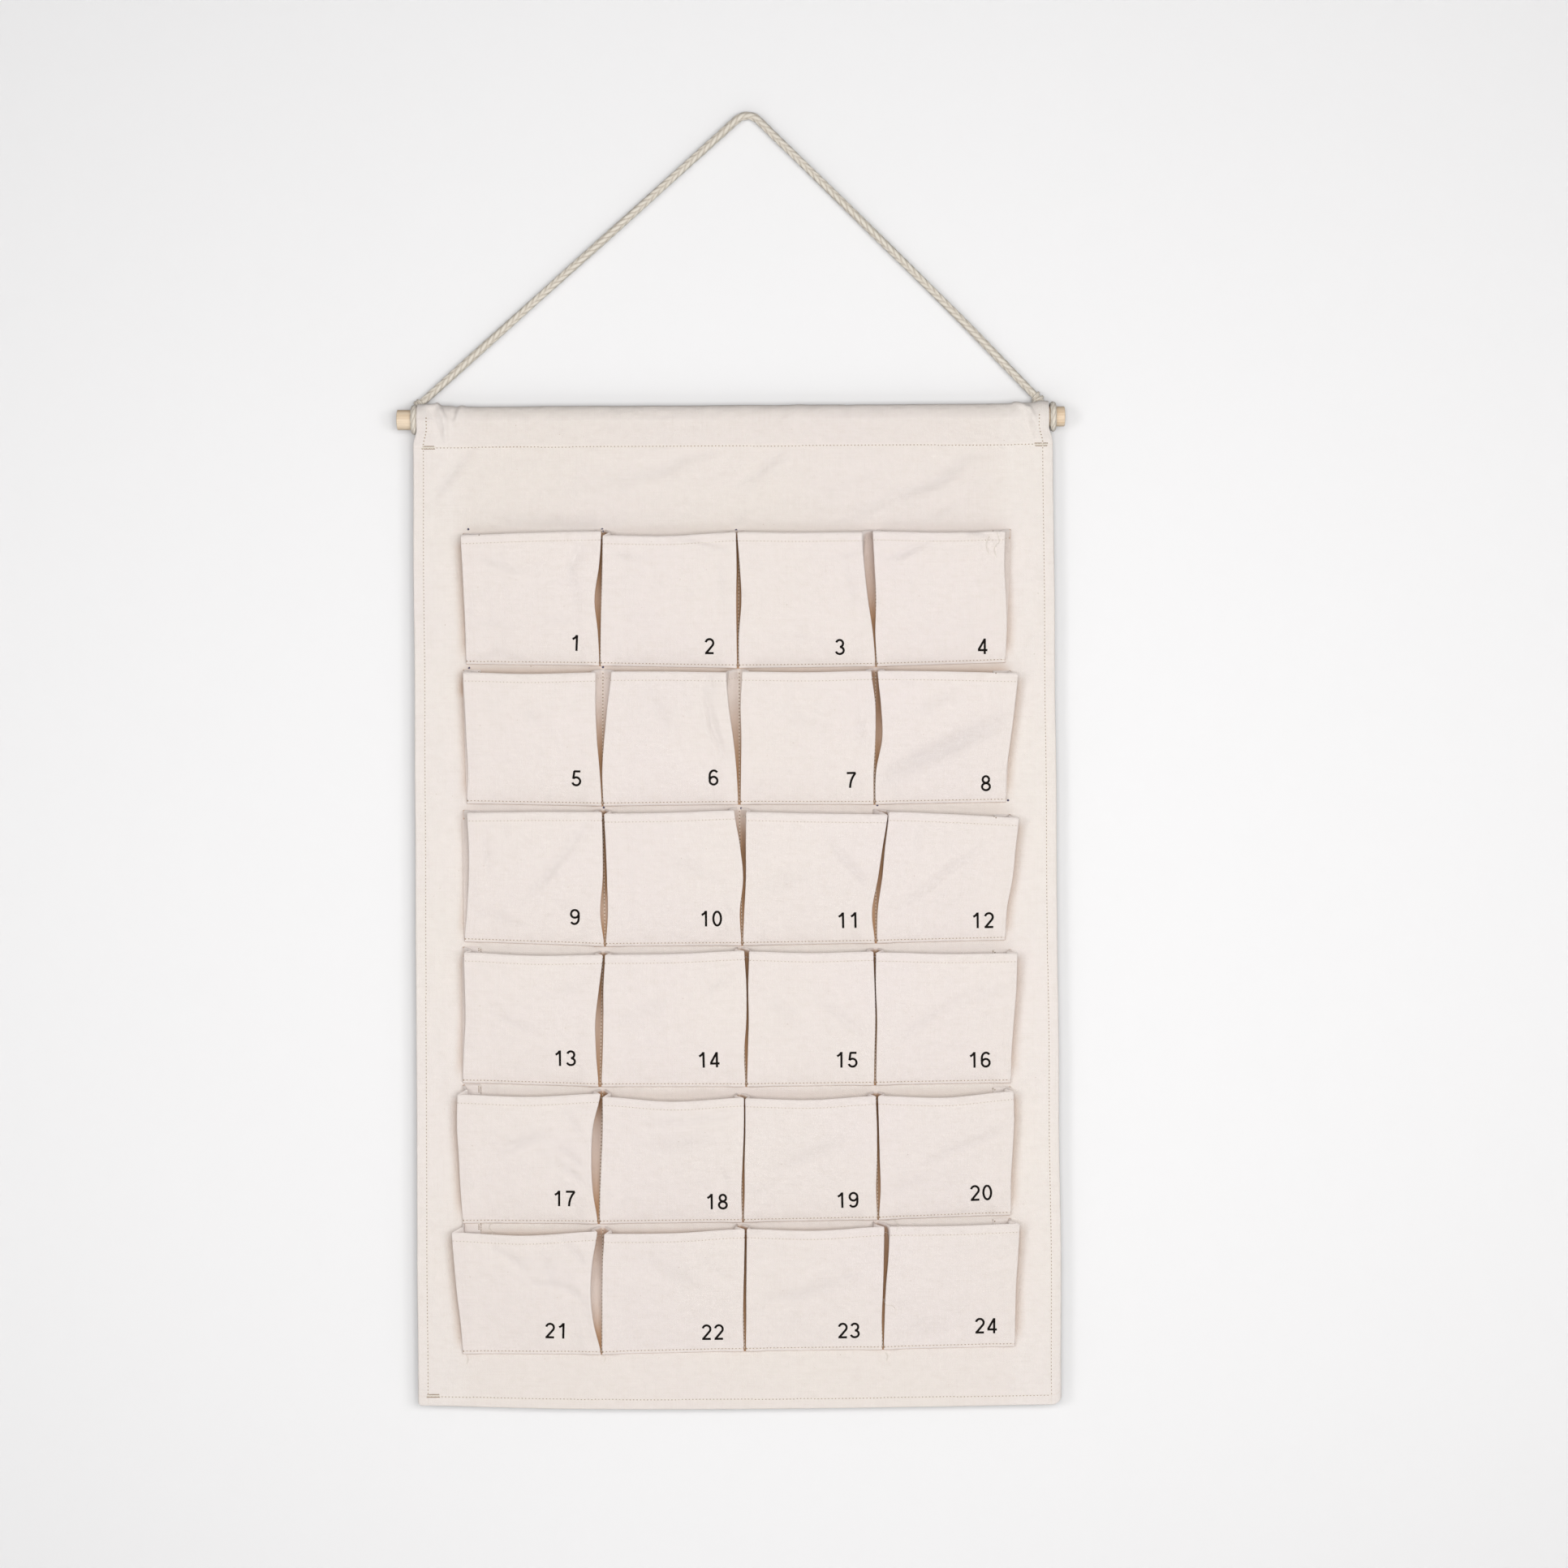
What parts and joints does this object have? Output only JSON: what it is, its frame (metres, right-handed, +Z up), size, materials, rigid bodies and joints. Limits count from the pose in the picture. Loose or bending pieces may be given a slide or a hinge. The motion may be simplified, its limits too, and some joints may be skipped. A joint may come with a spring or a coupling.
{
  "type": "fabric advent calendar",
  "caption": "Canvas wall hanging with rows of gusseted pockets, a sleeve round a wooden dowel, and a cord tied to both ends of the dowel that hangs over a hook.",
  "frame": {"origin": "underside of the cord at the top of its span, where it rests on a wall hook", "axes": "+Z up, X along the dowel, the pockets face -Y and the wall is on the +Y side"},
  "size_m": [0.5, 0.0289, 0.9733],
  "materials": {
    "canvas": "matt plain weave",
    "wood": "unvarnished pale wood",
    "cord": "braided cotton",
    "print": "matt black print",
    "thread": "cotton sewing thread"
  },
  "bodies": {
    "cord": {"hanging_cord": "cord", "left_cord_loop": "cord", "right_cord_loop": "cord"},
    "dowel": {"dowel": "wood"},
    "panel": {"backing_panel": "canvas", "rod_sleeve": "canvas", "pocket_01": "canvas", "pocket_02": "canvas", "pocket_03": "canvas", "pocket_04": "canvas", "pocket_05": "canvas", "pocket_06": "canvas", "pocket_07": "canvas", "pocket_08": "canvas", "pocket_09": "canvas", "pocket_10": "canvas", "pocket_11": "canvas", "pocket_12": "canvas", "pocket_13": "canvas", "pocket_14": "canvas", "pocket_15": "canvas", "pocket_16": "canvas", "pocket_17": "canvas", "pocket_18": "canvas", "pocket_19": "canvas", "pocket_20": "canvas", "pocket_21": "canvas", "pocket_22": "canvas", "pocket_23": "canvas", "pocket_24": "canvas"}
  },
  "joints": [
    {"name": "dowel_slide", "type": "slide", "parent": "cord", "child": "dowel", "axis": [1, 0, 0], "range_m": [-0.005, 0.0095]},
    {"name": "panel_swing", "type": "hinge", "parent": "cord", "child": "panel", "pos_m": [-0.0115, -0.0085, -0.2255], "axis": [-1, 0, 0], "range_deg": [0, 90]}
  ]
}
